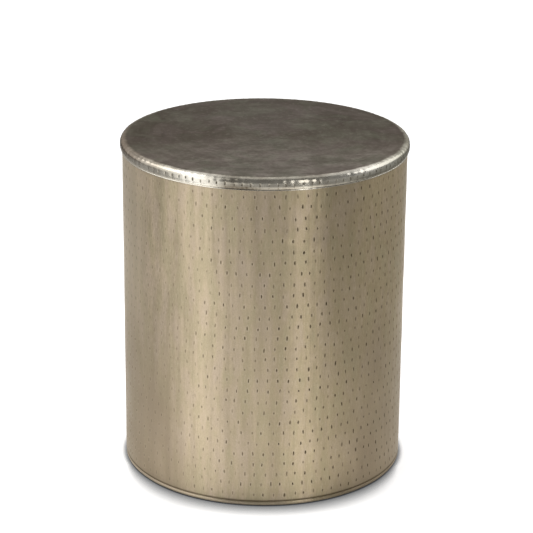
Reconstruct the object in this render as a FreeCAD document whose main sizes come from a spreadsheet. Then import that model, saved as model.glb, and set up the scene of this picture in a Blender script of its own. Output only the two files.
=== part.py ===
import FreeCAD, Part
import math
import os

import Sketcher
from FreeCAD import Placement, Rotation, Vector

# A drum side table in hand-finished sheet metal, in millimetres. +Z is up, the front faces -Y, and
# the origin is on the floor at the centre of the drum. The drum is a rolled wall with one upright
# seam at the back, closed by a spun pan at the foot; the top is a spun lid that lifts straight off.

DIMENSIONS = [
    # the drum wall
    ("overall_height", "508", "floor to the face of the lid"),
    ("mouth_diameter", "425.4", "outside of the wall where the lid sits"),
    ("foot_taper", "0.3", "wall drawn in from the mouth to the foot, each side"),
    ("wall_gauge", "1.0", "sheet of the wall"),
    ("seam_opening", "0.4", "butt of the rolled wall at the back"),
    ("fit_gap", "0.1", "film of solder or air between formed pieces"),
    ("fold_bend", "1.6", "outer bend of the edge folded over the hoop"),
    ("fold_leg", "9", "depth of the folded edge inside the mouth"),
    ("hoop_thickness", "3", "flat bar inside the mouth"),
    ("hoop_depth", "22", "height of that bar"),
    ("hoop_edge", "0.8", "rounded edges of that bar"),
    ("hoop_opening", "1.2", "butt of the rolled bar"),
    ("strap_width", "32", "strip behind the upright seam"),
    ("strap_gauge", "1.0", "sheet of that strip"),
    ("strap_clearance", "3", "strip to the hoop above and the pan flange below"),
    # the foot
    ("floor_gap", "1.0", "bead above the floor, carried by the rubber feet"),
    ("bead_radius", "3.5", "rolled bead round the foot"),
    ("wire_slack", "0.3", "air round the wire inside the bead"),
    ("pan_gauge", "1.0", "sheet of the pan"),
    ("pan_recess", "5", "panel above the underside of the bead"),
    ("pan_ramp", "6.5", "run of the curve from panel to bead"),
    ("bead_ledge", "4", "flat ring between that curve and the bead"),
    ("bead_crease", "0.6", "bend between bead and flange"),
    ("foot_seam", "0.7", "open line between bead and wall"),
    ("flange_height", "18", "pan flange inside the wall"),
    ("base_thickness", "9", "board that lies in the pan"),
    ("base_clearance", "0.5", "board to pan flange"),
    # the lid
    ("lid_overhang", "3.3", "lid past the wall at its widest"),
    ("lid_gauge", "1.0", "sheet of the lid"),
    ("shoulder_radius", "7.8", "upper curve of the rim"),
    ("rim_height", "18.7", "face of the lid to its lower edge"),
    ("curl_margin", "0.8", "lower edge of the board inside to the start of the curl"),
    ("lip_land", "1.6", "upright edge below the curl"),
    ("lip_clearance", "0.3", "lip to the wall, so that it lifts freely"),
    ("glue_film", "0.2", "between sheet and board"),
    ("lid_board_thickness", "9", "board that keeps the lid flat"),
    ("plug_thickness", "9", "board that locates the lid in the mouth"),
    ("plug_clearance", "1.5", "that board to the folded edge"),
    ("plug_chamfer", "1.5", "lead-in round its lower edge"),
    ("felt_thickness", "1.2", "seat ring under the lid"),
    ("felt_width", "5", "breadth of the seat ring"),
    ("felt_inset", "0.6", "seat ring to the plug board"),
    ("seat_gap", "0.3", "seat ring above the folded edge"),
    # feet and fasteners
    ("rubber_foot_count", "4", "feet round the pan"),
    ("rubber_foot_inset", "13.9", "feet to the curve of the pan"),
    ("rubber_foot_top", "26", "diameter against the pan"),
    ("rubber_foot_base", "22", "diameter at the floor"),
    ("rubber_foot_round", "1", "rounded edge at the floor"),
    ("washer_diameter", "10", "steel washer in each foot"),
    ("washer_thickness", "0.8", "that washer"),
    ("counterbore_depth", "3.2", "floor to the seat of that washer"),
    ("screw_diameter", "3.5", "shank of every screw"),
    ("screw_clearance", "0.4", "hole past the shank, each side"),
    ("pilot_clearance", "0.05", "pilot hole past the shank, each side"),
    ("screw_head", "7", "diameter of every screw head"),
    ("screw_head_height", "1.6", "pan head"),
    ("screw_point", "2", "length of the point"),
    ("screw_bite", "7", "screw into the base board"),
    ("lid_screw_bite", "6", "screw into the lid board"),
    ("countersink_depth", "1.9", "head of a countersunk screw"),
    ("base_screw_count", "6", "screws up through the pan"),
    ("base_screw_circle", "250", "circle of those screws"),
    ("lid_screw_count", "8", "screws up through the plug board"),
    ("lid_screw_inset", "31", "those screws to the edge of the plug board"),
]

WORKED_OUT = [
    # radii of the wall, and the foot
    ("mouth_radius", "dims.mouth_diameter / 2"),
    ("foot_radius", "mouth_radius - dims.foot_taper"),
    ("foot_inside", "foot_radius - dims.wall_gauge - dims.fit_gap"),
    ("bead_centre", "foot_radius - dims.bead_radius"),
    ("bead_level", "dims.floor_gap + dims.bead_radius"),
    ("crease_reach", "dims.bead_radius + dims.bead_crease"),
    ("crease_angle", "acos((foot_inside + dims.bead_crease - bead_centre) / crease_reach)"),
    ("crease_start_radius", "bead_centre + dims.bead_radius * cos(crease_angle)"),
    ("crease_start_level", "bead_level + dims.bead_radius * sin(crease_angle)"),
    ("crease_level", "bead_level + crease_reach * sin(crease_angle)"),
    ("wall_bottom", "crease_level + dims.foot_seam"),
    ("flange_top", "wall_bottom + dims.flange_height"),
    ("wire_radius", "dims.bead_radius - dims.pan_gauge - dims.wire_slack"),
    # the pan and what lies in it
    ("panel_level", "dims.floor_gap + dims.pan_recess"),
    ("panel_top", "panel_level + dims.pan_gauge"),
    ("ramp_outer", "bead_centre - dims.bead_ledge"),
    ("ramp_inner", "ramp_outer - dims.pan_ramp"),
    ("ramp_middle", "(ramp_outer + ramp_inner) / 2"),
    ("ramp_half_level", "dims.floor_gap + dims.pan_recess / 2"),
    ("ramp_bend", "(dims.pan_ramp ^ 2 + dims.pan_recess ^ 2) / (4 * dims.pan_recess)"),
    ("base_radius", "foot_inside - dims.pan_gauge - dims.base_clearance"),
    # the lid, from its face down
    ("lid_radius", "mouth_radius + dims.lid_overhang"),
    ("shoulder_level", "dims.overall_height - dims.shoulder_radius"),
    ("lip_bottom", "dims.overall_height - dims.rim_height"),
    ("lip_top", "lip_bottom + dims.lip_land"),
    ("lip_radius", "mouth_radius + dims.lip_clearance + dims.lid_gauge"),
    ("lid_lining", "dims.lid_gauge + dims.glue_film"),
    ("lid_board_radius", "lid_radius - lid_lining"),
    ("lid_board_bend", "dims.shoulder_radius - lid_lining"),
    ("lid_board_level", "dims.overall_height - lid_lining - dims.lid_board_thickness"),
    ("lid_board_edge", "dims.lid_board_thickness - lid_board_bend"),
    ("curl_level", "lid_board_level - dims.curl_margin"),
    ("curl_in", "lid_radius - lip_radius"),
    ("curl_drop", "curl_level - lip_top"),
    ("curl_bend", "(curl_in ^ 2 + curl_drop ^ 2) / (2 * curl_in)"),
    ("plug_level", "lid_board_level - dims.plug_thickness"),
    ("felt_level", "lid_board_level - dims.felt_thickness"),
    # the folded mouth of the wall
    ("wall_top", "felt_level - dims.seat_gap"),
    ("fold_width", "dims.hoop_thickness + 2 * dims.wall_gauge + 2 * dims.fit_gap"),
    ("fold_inside", "mouth_radius - fold_width"),
    ("mouth_inside", "mouth_radius - dims.wall_gauge - dims.fit_gap"),
    ("hoop_top", "wall_top - dims.wall_gauge - dims.fit_gap"),
    ("hoop_bottom", "hoop_top - dims.hoop_depth"),
    ("taper_bottom", "flange_top + dims.strap_clearance"),
    ("taper_top", "hoop_bottom - dims.strap_clearance"),
    ("plug_radius", "fold_inside - dims.plug_clearance"),
    ("felt_inside", "plug_radius + dims.felt_inset"),
    # angles of the rolled pieces, in degrees; the seam stands at +Y
    ("seam_angle", "dims.seam_opening / mouth_radius * 180 / pi"),
    ("strap_angle", "dims.strap_width / mouth_inside * 180 / pi"),
    ("hoop_angle", "dims.hoop_opening / mouth_inside * 180 / pi"),
    # feet and fasteners
    ("rubber_foot_ring", "ramp_inner - dims.rubber_foot_inset - dims.rubber_foot_top / 2"),
    ("base_screw_ring", "dims.base_screw_circle / 2"),
    ("lid_screw_ring", "plug_radius - dims.lid_screw_inset"),
    ("shank_radius", "dims.screw_diameter / 2"),
    ("hole_radius", "shank_radius + dims.screw_clearance"),
    ("pilot_radius", "shank_radius + dims.pilot_clearance"),
    ("head_radius", "dims.screw_head / 2"),
    ("foot_screw_level", "dims.counterbore_depth - dims.washer_thickness"),
    ("foot_screw_length", "panel_top + dims.screw_bite - foot_screw_level"),
    ("base_screw_length", "dims.pan_gauge + dims.screw_bite"),
    ("lid_screw_length", "dims.plug_thickness + dims.lid_screw_bite"),
]

# Directions in degrees from +X, counted towards the back.
BACK = 90  # the upright seam
HOOP_JOINT = -90  # the butt of the mouth hoop, across from the seam

# Rings of equal pieces: how many, how far out they stand, and the direction of the first.
FEET = ("dims.rubber_foot_count", "places.rubber_foot_ring", 45)
BASE_SCREWS = ("dims.base_screw_count", "places.base_screw_ring", 0)
LID_SCREWS = ("dims.lid_screw_count", "places.lid_screw_ring", 22.5)

doc = FreeCAD.newDocument("drum_side_table")


def fill_sheets():
    """Two sheets: dims holds the driving sizes, places holds what is worked out from them."""
    dims = doc.addObject("Spreadsheet::Sheet", "dims")
    for row, (alias, size, note) in enumerate(DIMENSIONS, start=1):
        dims.set(f"A{row}", alias)
        dims.set(f"B{row}", size)
        dims.set(f"C{row}", note)
        dims.setAlias(f"B{row}", alias)
    doc.recompute()
    places = doc.addObject("Spreadsheet::Sheet", "places")
    for row, (alias, formula) in enumerate(WORKED_OUT, start=1):
        places.set(f"A{row}", alias)
        places.set(f"B{row}", "=" + formula)
        places.setAlias(f"B{row}", alias)
    doc.recompute()
    return dims, places


dims, places = fill_sheets()
nodes = []


def value(expression):
    """The number that an expression over the two sheets gives now."""
    result = places.evalExpression(expression)
    return float(getattr(result, "Value", result))


def node(label, shaped):
    """Name a finished sub-part and keep it for the export."""
    shaped.Label = label
    nodes.append(shaped)
    return shaped


# ---------------------------------------------------------------- sketches


def arc_through(start, end, radius, side):
    """The short arc from start to end that turns to the left (+1) or to the right (-1)."""
    chord = end - start
    left = Vector(-chord.y, chord.x, 0).normalize()
    rise = math.sqrt(max(radius**2 - (chord.Length / 2) ** 2, 0))
    centre = (start + end) * 0.5 + left * (side * rise)
    first, last = (start, end) if side > 0 else (end, start)
    angles = [math.atan2(p.y - centre.y, p.x - centre.x) for p in (first, last)]
    return Part.ArcOfCircle(Part.Circle(centre, Vector(0, 0, 1), radius), *angles)


def size_point(sketch, name, geometry, end, corner):
    """Dimension a point of a sketch across and up from the sketch's origin."""
    for kind, axis, expression in (("DistanceX", -2, corner[0]), ("DistanceY", -1, corner[1])):
        if expression == "0":
            sketch.addConstraint(Sketcher.Constraint("PointOnObject", geometry, end, axis))
            continue
        sized = Sketcher.Constraint(kind, -1, 1, geometry, end, value(expression))
        bind_size(sketch, f"{name}_{kind[-1]}", sized, expression)


def bind_size(sketch, name, constraint, expression):
    """Add a sized constraint under a name of its own and tie it to an expression."""
    sketch.renameConstraint(sketch.addConstraint(constraint), name)
    sketch.setExpression(f"Constraints.{name}", expression)


def draw(sketch, corners, closed):
    """Draw a run of lines and arcs through corners given as (radius, level) expressions.

    A corner may go on with (bend radius, side): the run then reaches it by an arc that turns left
    (+1) or right (-1). Every corner is dimensioned, and so is every bend, so nothing is free.
    """
    points = [Vector(value(corner[0]), value(corner[1]), 0) for corner in corners]
    reached = list(range(1, len(corners))) + ([0] if closed else [])
    pieces = []
    for number in reached:
        start, end = points[number - 1], points[number]
        bend, side = corners[number][2:] or (None, 1)
        curve = arc_through(start, end, value(bend), side) if bend else Part.LineSegment(start, end)
        geometry = sketch.addGeometry(curve)
        if bend:
            radius = Sketcher.Constraint("Radius", geometry, value(bend))
            bind_size(sketch, f"bend_{number}", radius, bend)
        pieces.append((geometry, 1, 2) if side > 0 else (geometry, 2, 1))
    joints = zip(pieces, pieces[1:] + pieces[:1] if closed else pieces[1:])
    for (before, _, last), (after, first, _) in joints:
        sketch.addConstraint(Sketcher.Constraint("Coincident", before, last, after, first))
    if not closed:
        size_point(sketch, "corner_0", pieces[0][0], pieces[0][1], corners[0])
    for number, (geometry, _, last) in zip(reached, pieces):
        size_point(sketch, f"corner_{number}", geometry, last, corners[number])
    return sketch


def upright_sketch(name, corners, closed=True):
    """A sketch in the XZ plane: across is the distance from the Z axis, up is the level."""
    sketch = doc.addObject("Sketcher::SketchObject", name)
    sketch.Placement = Placement(Vector(0, 0, 0), Rotation(Vector(1, 0, 0), 90))
    return draw(sketch, corners, closed)


def origin_feature(body, role):
    """A plane or an axis of the body's own origin."""
    return next(feature for feature in body.Origin.OriginFeatures if feature.Role == role)


def body_sketch(body, name, plane):
    """A sketch on one of its body's own origin planes."""
    sketch = body.newObject("Sketcher::SketchObject", name)
    sketch.AttachmentSupport = [(origin_feature(body, plane), "")]
    sketch.MapMode = "FlatFace"
    return sketch


# ---------------------------------------------------------------- operations


def sheet_section(name, corners, gauge):
    """A sheet's section: its outer line, thickened to the left of the run, or right if negative."""
    section = doc.addObject("Part::Offset2D", f"{name}_section")
    section.Source = upright_sketch(f"{name}_line", corners, closed=False)
    section.setExpression("Value", gauge)
    section.Mode = "Skin"
    section.Join = "Intersection"
    section.Fill = True
    return section


def spin(name, section, angle="360", turn="0"):
    """Turn a section about the Z axis, from turn degrees on, through angle degrees."""
    spun = doc.addObject("Part::Revolution", name)
    spun.Source = section
    spun.Axis = Vector(0, 0, 1)
    spun.Solid = True
    spun.setExpression("Angle", angle)
    spun.Placement = Placement(Vector(0, 0, 0), Rotation(Vector(0, 0, 1), 1))
    spun.setExpression("Placement.Rotation.Angle", turn)
    return spun


def place_round(shaped, ring, degrees, level):
    """Stand an object out from the Z axis by a ring's radius, in a direction, at a level."""
    shaped.setExpression("Placement.Base.x", f"{ring} * cos({degrees} * 1 deg)")
    shaped.setExpression("Placement.Base.y", f"{ring} * sin({degrees} * 1 deg)")
    shaped.setExpression("Placement.Base.z", level)


def steps_round(count, start):
    """The angles, as expressions in degrees, of a number of places spread round a circle."""
    return [f"({start} + {number} * 360 / {count})" for number in range(int(value(count)))]


def ring_of(label, section, places_round, level):
    """Spin one section into equal solids, such as screws, spread round a ring: one node."""
    count, ring, start = places_round
    copies = []
    for number, degrees in enumerate(steps_round(count, start), start=1):
        copy = spin(f"{label}_{number}", section)
        place_round(copy, ring, degrees, level)
        copies.append(copy)
    group = doc.addObject("Part::Compound", label)
    group.Links = copies
    return node(label, group)


def repeat_round(body, feature, count):
    """Repeat a body's last feature round its own upright axis."""
    pattern = body.newObject("PartDesign::PolarPattern", f"{feature.Name}s")
    pattern.Originals = [feature]
    pattern.Axis = (origin_feature(body, "Z_Axis"), [""])
    pattern.Angle = 360
    pattern.setExpression("Occurrences", count)
    body.Tip = pattern


def drill_ring(body, name, places_round, radius, depth):
    """Sink a ring of round holes up into a body from its level zero."""
    count, ring, start = places_round
    sketch = body_sketch(body, f"{name}_sketch", "XY_Plane")
    centre = (f"{ring} * cos({start} * 1 deg)", f"{ring} * sin({start} * 1 deg)")
    middle = Vector(value(centre[0]), value(centre[1]), 0)
    hole = sketch.addGeometry(Part.Circle(middle, Vector(0, 0, 1), value(radius)))
    bind_size(sketch, "radius", Sketcher.Constraint("Radius", hole, value(radius)), radius)
    size_point(sketch, "centre", hole, 3, centre)
    pocket = body.newObject("PartDesign::Pocket", f"{name}_hole")
    pocket.Profile = sketch
    pocket.Reversed = True
    pocket.setExpression("Length", depth)
    repeat_round(body, pocket, count)


def countersink_ring(body, name, places_round):
    """Open the holes of a ring into countersinks at the body's level zero."""
    count, ring, start = places_round
    cone = body.newObject("PartDesign::SubtractiveCone", f"{name}_countersink")
    cone.setExpression("Radius1", "places.head_radius + dims.pilot_clearance")
    cone.setExpression("Radius2", "places.pilot_radius")
    cone.setExpression("Height", "dims.countersink_depth")
    place_round(cone, ring, start, "0")
    repeat_round(body, cone, count)


def turned_body(label, corners, level):
    """A body turned about its own upright axis, standing with its level zero at a level."""
    body = doc.addObject("PartDesign::Body", label)
    sketch = draw(body_sketch(body, f"{label}_outline", "XZ_Plane"), corners, closed=True)
    turned = body.newObject("PartDesign::Revolution", f"{label}_turned")
    turned.Profile = sketch
    turned.ReferenceAxis = (sketch, ["V_Axis"])
    turned.Angle = 360
    body.setExpression("Placement.Base.z", level)
    return node(label, body)


# ---------------------------------------------------------------- the drum


def make_drum_wall():
    """Rolled sheet: upright at the foot and at the mouth, a slight taper between, and an edge
    folded in over the hoop."""
    line = [
        ("places.foot_radius", "places.wall_bottom"),
        ("places.foot_radius", "places.taper_bottom"),
        ("places.mouth_radius", "places.taper_top"),
        ("places.mouth_radius", "places.wall_top - dims.fold_bend"),
        ("places.mouth_radius - dims.fold_bend", "places.wall_top", "dims.fold_bend", 1),
        ("places.fold_inside + dims.fold_bend", "places.wall_top"),
        ("places.fold_inside", "places.wall_top - dims.fold_bend", "dims.fold_bend", 1),
        ("places.fold_inside", "places.wall_top - dims.fold_leg"),
    ]
    section = sheet_section("drum_wall", line, "dims.wall_gauge")
    turn = f"{BACK} + places.seam_angle / 2"
    node("drum_wall", spin("drum_wall", section, "360 - places.seam_angle", turn))


def make_seam_strap():
    """A strip that backs the upright seam, between the pan flange and the mouth hoop."""
    foot = "places.foot_inside"
    mouth = "places.mouth_inside"
    section = upright_sketch(
        "seam_strap_section",
        [
            (f"{foot} - dims.strap_gauge", "places.taper_bottom"),
            (foot, "places.taper_bottom"),
            (mouth, "places.taper_top"),
            (f"{mouth} - dims.strap_gauge", "places.taper_top"),
        ],
    )
    turn = f"{BACK} - places.strap_angle / 2"
    node("seam_strap", spin("seam_strap", section, "places.strap_angle", turn))


def make_mouth_hoop():
    """A flat bar with rounded edges, rolled to a hoop, which keeps the mouth round and carries the
    lid."""
    inside = "places.mouth_inside - dims.hoop_thickness"
    outside = "places.mouth_inside"
    low = "places.hoop_bottom"
    high = "places.hoop_top"
    edge = "dims.hoop_edge"
    section = upright_sketch(
        "mouth_hoop_section",
        [
            (f"{inside} + {edge}", low, edge, 1),
            (f"{outside} - {edge}", low),
            (outside, f"{low} + {edge}", edge, 1),
            (outside, f"{high} - {edge}"),
            (f"{outside} - {edge}", high, edge, 1),
            (f"{inside} + {edge}", high),
            (inside, f"{high} - {edge}", edge, 1),
            (inside, f"{low} + {edge}"),
        ],
    )
    turn = f"{HOOP_JOINT} + places.hoop_angle / 2"
    node("mouth_hoop", spin("mouth_hoop", section, "360 - places.hoop_angle", turn))


# ---------------------------------------------------------------- the foot


def make_foot_pan():
    """A pan spun from one disc: raised panel, curve down to the floor, bead, and a flange that
    stands inside the wall. It is drilled for the feet and for the base screws."""
    line = [
        ("0", "places.panel_level"),
        ("places.ramp_inner", "places.panel_level"),
        ("places.ramp_middle", "places.ramp_half_level", "places.ramp_bend", -1),
        ("places.ramp_outer", "dims.floor_gap", "places.ramp_bend", 1),
        ("places.bead_centre", "dims.floor_gap"),
        ("places.foot_radius", "places.bead_level", "dims.bead_radius", 1),
        ("places.crease_start_radius", "places.crease_start_level", "dims.bead_radius", 1),
        ("places.foot_inside", "places.crease_level", "dims.bead_crease", -1),
        ("places.foot_inside", "places.flange_top"),
    ]
    blank = spin("foot_pan_blank", sheet_section("foot_pan", line, "dims.pan_gauge"))
    drills = []
    for name, (count, ring, start) in (("foot_hole", FEET), ("base_hole", BASE_SCREWS)):
        for number, degrees in enumerate(steps_round(count, start), start=1):
            drill = doc.addObject("Part::Cylinder", f"{name}_{number}")
            drill.setExpression("Radius", "places.hole_radius")
            drill.setExpression("Height", "3 * dims.pan_gauge")
            place_round(drill, ring, degrees, "places.panel_level - dims.pan_gauge")
            drills.append(drill)
    holes = doc.addObject("Part::Compound", "foot_pan_holes")
    holes.Links = drills
    pan = doc.addObject("Part::Cut", "foot_pan")
    pan.Base = blank
    pan.Tool = holes
    node("foot_pan", pan)


def make_foot_wire():
    """The wire that the bead is rolled round."""
    wire = doc.addObject("Part::Torus", "foot_wire")
    wire.setExpression("Radius1", "places.bead_centre")
    wire.setExpression("Radius2", "places.wire_radius")
    wire.setExpression("Placement.Base.z", "places.bead_level")
    node("foot_wire", wire)


def make_base_board():
    """The board that lies in the pan as the floor of the drum, with its pilot holes."""
    corners = [
        ("0", "0"),
        ("places.base_radius", "0"),
        ("places.base_radius", "dims.base_thickness"),
        ("0", "dims.base_thickness"),
    ]
    board = turned_body("base_board", corners, "places.panel_top")
    drill_ring(board, "foot_pilot", FEET, "places.pilot_radius", "dims.screw_bite")
    drill_ring(board, "base_pilot", BASE_SCREWS, "places.pilot_radius", "dims.screw_bite")


def make_rubber_feet():
    """Tapered rubber feet, each bored and counterbored for its screw and washer."""
    bore = "places.hole_radius"
    counterbore = "dims.washer_diameter / 2 + dims.screw_clearance"
    base = "dims.rubber_foot_base / 2"
    corners = [
        (counterbore, "0"),
        (f"{base} - dims.rubber_foot_round", "0"),
        (base, "dims.rubber_foot_round", "dims.rubber_foot_round", 1),
        ("dims.rubber_foot_top / 2", "places.panel_level"),
        (bore, "places.panel_level"),
        (bore, "dims.counterbore_depth"),
        (counterbore, "dims.counterbore_depth"),
    ]
    count, ring, start = FEET
    for number, degrees in enumerate(steps_round(count, start), start=1):
        foot = turned_body(f"rubber_foot_{number}", corners, "0")
        place_round(foot, ring, degrees, "0")


def make_foot_fasteners():
    """A washer and a pan-head screw in each rubber foot, and screws through the pan alone."""
    washer = upright_sketch(
        "washer_section",
        [
            ("places.hole_radius", "0"),
            ("dims.washer_diameter / 2", "0"),
            ("dims.washer_diameter / 2", "dims.washer_thickness"),
            ("places.hole_radius", "dims.washer_thickness"),
        ],
    )
    ring_of("foot_washers", washer, FEET, "places.foot_screw_level")
    foot_screw = pan_head_section("foot_screw_section", "places.foot_screw_length")
    ring_of("foot_screws", foot_screw, FEET, "places.foot_screw_level")
    base_screw = pan_head_section("base_screw_section", "places.base_screw_length")
    ring_of("base_screws", base_screw, BASE_SCREWS, "places.panel_level")


def pan_head_section(name, length):
    """Half of a pan-head screw that points up, with the underside of its head at level zero."""
    head_edge = "-dims.screw_head_height / 2"
    crown = "(places.head_radius ^ 2 + (dims.screw_head_height / 2) ^ 2) / dims.screw_head_height"
    return upright_sketch(
        name,
        [
            ("0", "-dims.screw_head_height"),
            ("places.head_radius", head_edge, crown, 1),
            ("places.head_radius", "0"),
            ("places.shank_radius", "0"),
            ("places.shank_radius", f"{length} - dims.screw_point"),
            ("0", length),
        ],
    )


# ---------------------------------------------------------------- the lid


def make_lid_skin():
    """One spun sheet: flat face, rounded shoulder, upright band, and a curl in to the lip."""
    line = [
        ("0", "dims.overall_height"),
        ("places.lid_radius - dims.shoulder_radius", "dims.overall_height"),
        ("places.lid_radius", "places.shoulder_level", "dims.shoulder_radius", -1),
        ("places.lid_radius", "places.curl_level"),
        ("places.lip_radius", "places.lip_top", "places.curl_bend", -1),
        ("places.lip_radius", "places.lip_bottom"),
    ]
    node("lid_skin", spin("lid_skin", sheet_section("lid_skin", line, "-dims.lid_gauge")))


def make_lid_board():
    """The board inside the lid, its edge rounded to the shoulder of the sheet."""
    corners = [
        ("0", "0"),
        ("places.lid_board_radius", "0"),
        ("places.lid_board_radius", "places.lid_board_edge"),
        (
            "places.lid_board_radius - places.lid_board_bend",
            "dims.lid_board_thickness",
            "places.lid_board_bend",
            1,
        ),
        ("0", "dims.lid_board_thickness"),
    ]
    board = turned_body("lid_board", corners, "places.lid_board_level")
    drill_ring(board, "lid_pilot", LID_SCREWS, "places.pilot_radius", "dims.lid_screw_bite")


def make_lid_plug():
    """The smaller board below, which drops into the mouth and keeps the lid centred."""
    corners = [
        ("0", "0"),
        ("places.plug_radius - dims.plug_chamfer", "0"),
        ("places.plug_radius", "dims.plug_chamfer"),
        ("places.plug_radius", "dims.plug_thickness"),
        ("0", "dims.plug_thickness"),
    ]
    board = turned_body("lid_plug", corners, "places.plug_level")
    drill_ring(board, "plug_screw", LID_SCREWS, "places.hole_radius", "dims.plug_thickness")
    countersink_ring(board, "plug_screw", LID_SCREWS)


def make_lid_felt():
    """The felt ring on which the lid comes to rest."""
    outside = "places.felt_inside + dims.felt_width"
    corners = [
        ("places.felt_inside", "0"),
        (outside, "0"),
        (outside, "dims.felt_thickness"),
        ("places.felt_inside", "dims.felt_thickness"),
    ]
    turned_body("lid_felt", corners, "places.felt_level")


def make_lid_screws():
    """Countersunk screws that hold the plug board up against the lid board."""
    length = "places.lid_screw_length"
    screw = upright_sketch(
        "lid_screw_section",
        [
            ("0", "0"),
            ("places.head_radius", "0"),
            ("places.shank_radius", "dims.countersink_depth"),
            ("places.shank_radius", f"{length} - dims.screw_point"),
            ("0", length),
        ],
    )
    ring_of("lid_screws", screw, LID_SCREWS, "places.plug_level")


# ---------------------------------------------------------------- build, check and write


def check_document():
    """Stop unless every object is up to date and every sub-part is made of valid solids."""
    for made in doc.Objects:
        if {"Invalid", "Error"} & set(made.State):
            raise RuntimeError(f"{made.Name} failed: {made.State}")
    for shaped in nodes:
        shape = shaped.Shape
        if shape.isNull() or not shape.isValid() or not shape.Solids:
            raise RuntimeError(f"{shaped.Label} has no valid solid")


make_drum_wall()
make_seam_strap()
make_mouth_hoop()
make_foot_pan()
make_foot_wire()
make_base_board()
make_rubber_feet()
make_foot_fasteners()
make_lid_skin()
make_lid_board()
make_lid_plug()
make_lid_felt()
make_lid_screws()

doc.recompute()
check_document()

os.makedirs("parts", exist_ok=True)
for shaped in nodes:
    shaped.Shape.exportStep(f"parts/{shaped.Label}.step")
    print(f"{shaped.Label}: {len(shaped.Shape.Solids)} solids, {shaped.Shape.Volume:.0f} mm3")
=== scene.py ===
import math

import bpy
import numpy as np
from mathutils import Matrix, Vector


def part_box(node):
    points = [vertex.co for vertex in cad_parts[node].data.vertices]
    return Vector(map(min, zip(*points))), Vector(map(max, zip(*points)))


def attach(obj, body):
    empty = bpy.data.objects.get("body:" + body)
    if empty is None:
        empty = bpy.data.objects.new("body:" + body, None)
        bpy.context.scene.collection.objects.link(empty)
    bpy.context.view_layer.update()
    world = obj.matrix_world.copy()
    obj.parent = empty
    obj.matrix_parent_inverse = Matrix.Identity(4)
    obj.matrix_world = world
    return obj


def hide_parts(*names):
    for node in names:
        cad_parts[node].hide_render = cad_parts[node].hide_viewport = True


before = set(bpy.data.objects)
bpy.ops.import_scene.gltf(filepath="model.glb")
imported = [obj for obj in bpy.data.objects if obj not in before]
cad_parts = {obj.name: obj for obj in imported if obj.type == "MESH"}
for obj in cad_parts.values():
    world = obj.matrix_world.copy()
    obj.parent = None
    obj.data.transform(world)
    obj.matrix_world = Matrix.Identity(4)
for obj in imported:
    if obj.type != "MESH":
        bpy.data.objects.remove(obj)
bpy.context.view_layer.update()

# A drum side table in hand-finished sheet metal, in metres. +Z is up and the front faces -Y. The
# wall's upright seam stands at the back, and azimuths are counted from it, to the right as seen
# from outside: x = -r sin(azimuth), y = r cos(azimuth).

MM = 0.001
TURN = 2 * math.pi

# ---------- sizes

SHEET = 1.0 * MM
FILM = 0.1 * MM  # between formed pieces
HAMMERED_IN = 0.12 * MM  # hammering leaves the outside this far under the solid on average

wall_low, wall_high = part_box("drum_wall")
pan_low, pan_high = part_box("foot_pan")
lid_low, lid_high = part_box("lid_skin")
hoop_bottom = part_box("mouth_hoop")[0].z
board_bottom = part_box("lid_board")[0].z

MOUTH_RADIUS = wall_high.x
FOOT_RADIUS = pan_high.x
LID_RADIUS = lid_high.x
FACE_LEVEL = lid_high.z

# the wall
SEAM_OPENING = 0.4 * MM
FOLD_BEND = 1.6 * MM
FOLD_LEG = 9.0 * MM
HOOP_THICKNESS = 3.0 * MM
TAPER_MARGIN = 3.0 * MM  # upright above the pan flange and below the hoop
TAPER_BOTTOM = pan_high.z + TAPER_MARGIN
TAPER_TOP = hoop_bottom - TAPER_MARGIN
HELD_REACH = 25 * MM  # over this height the unevenness dies away towards the pan and the hoop
RAGGED_REACH = 4 * MM  # over this height, so does the raggedness of the foot's edge
INSIDE_LEVELS = (0.36, 0.25, 0.14)  # rings of the wall's inside, between the hoop and the pan
EDGE_SOOT_AND_SHADE = 0.75  # patina and painted shade on the lower edge of the sheet, in the crease over the bead

# the foot
BEAD_RADIUS = 3.5 * MM
BEAD_CENTRE = (FOOT_RADIUS - BEAD_RADIUS, pan_low.z + BEAD_RADIUS)
PAN_RECESS = 5.0 * MM
PAN_RAMP = 6.5 * MM
BEAD_LEDGE = 4.0 * MM
BEAD_CREASE = 0.6 * MM
PANEL_LEVEL = pan_low.z + PAN_RECESS
PAN_COLUMNS = 360
PANEL_RADII = (0.03, 0.08, 0.13, 0.17, 0.19)  # rings of the pan's underside
PANEL_RADII_INSIDE = (0.17, 0.08)
SOOT_AND_SHADE_LEVEL = BEAD_CENTRE[1] + 0.72 * BEAD_RADIUS  # patina and painted shade lie in the crease from here up
SOOT_AND_SHADE_RAMP = 0.8 * MM

# the lid
SHOULDER_RADIUS = 7.8 * MM
BELLY_LEVEL = FACE_LEVEL - SHOULDER_RADIUS  # where the lid's rim is widest
SHOULDER = (LID_RADIUS - SHOULDER_RADIUS, BELLY_LEVEL)
CURL_MARGIN = 0.8 * MM  # the curl starts this far under the board inside
CURL_LEVEL = board_bottom - CURL_MARGIN
LIP_TOP = lid_low.z + 1.6 * MM
LIP_CLEARANCE = 0.3 * MM
LIP_RADIUS = MOUTH_RADIUS + LIP_CLEARANCE + SHEET
LIP_BEAD = 0.8 * MM  # radius of the lip's rolled edge
LIP_PROUD = 0.3 * MM  # that edge past the upright lip
LIP_STEPS = 7
# Rings of the face: radius, and how many of the rim's columns apart their own are.
FACE_RINGS = [(0.2045, 1), (0.198, 1), (0.188, 4), (0.17, 4), (0.15, 4), (0.125, 4), (0.1, 4)]
FACE_RINGS += [(0.075, 4), (0.05, 4), (0.025, 4), (0.008, 4)]
FACE_RADII_INSIDE = (0.16, 0.1, 0.04)

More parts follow.
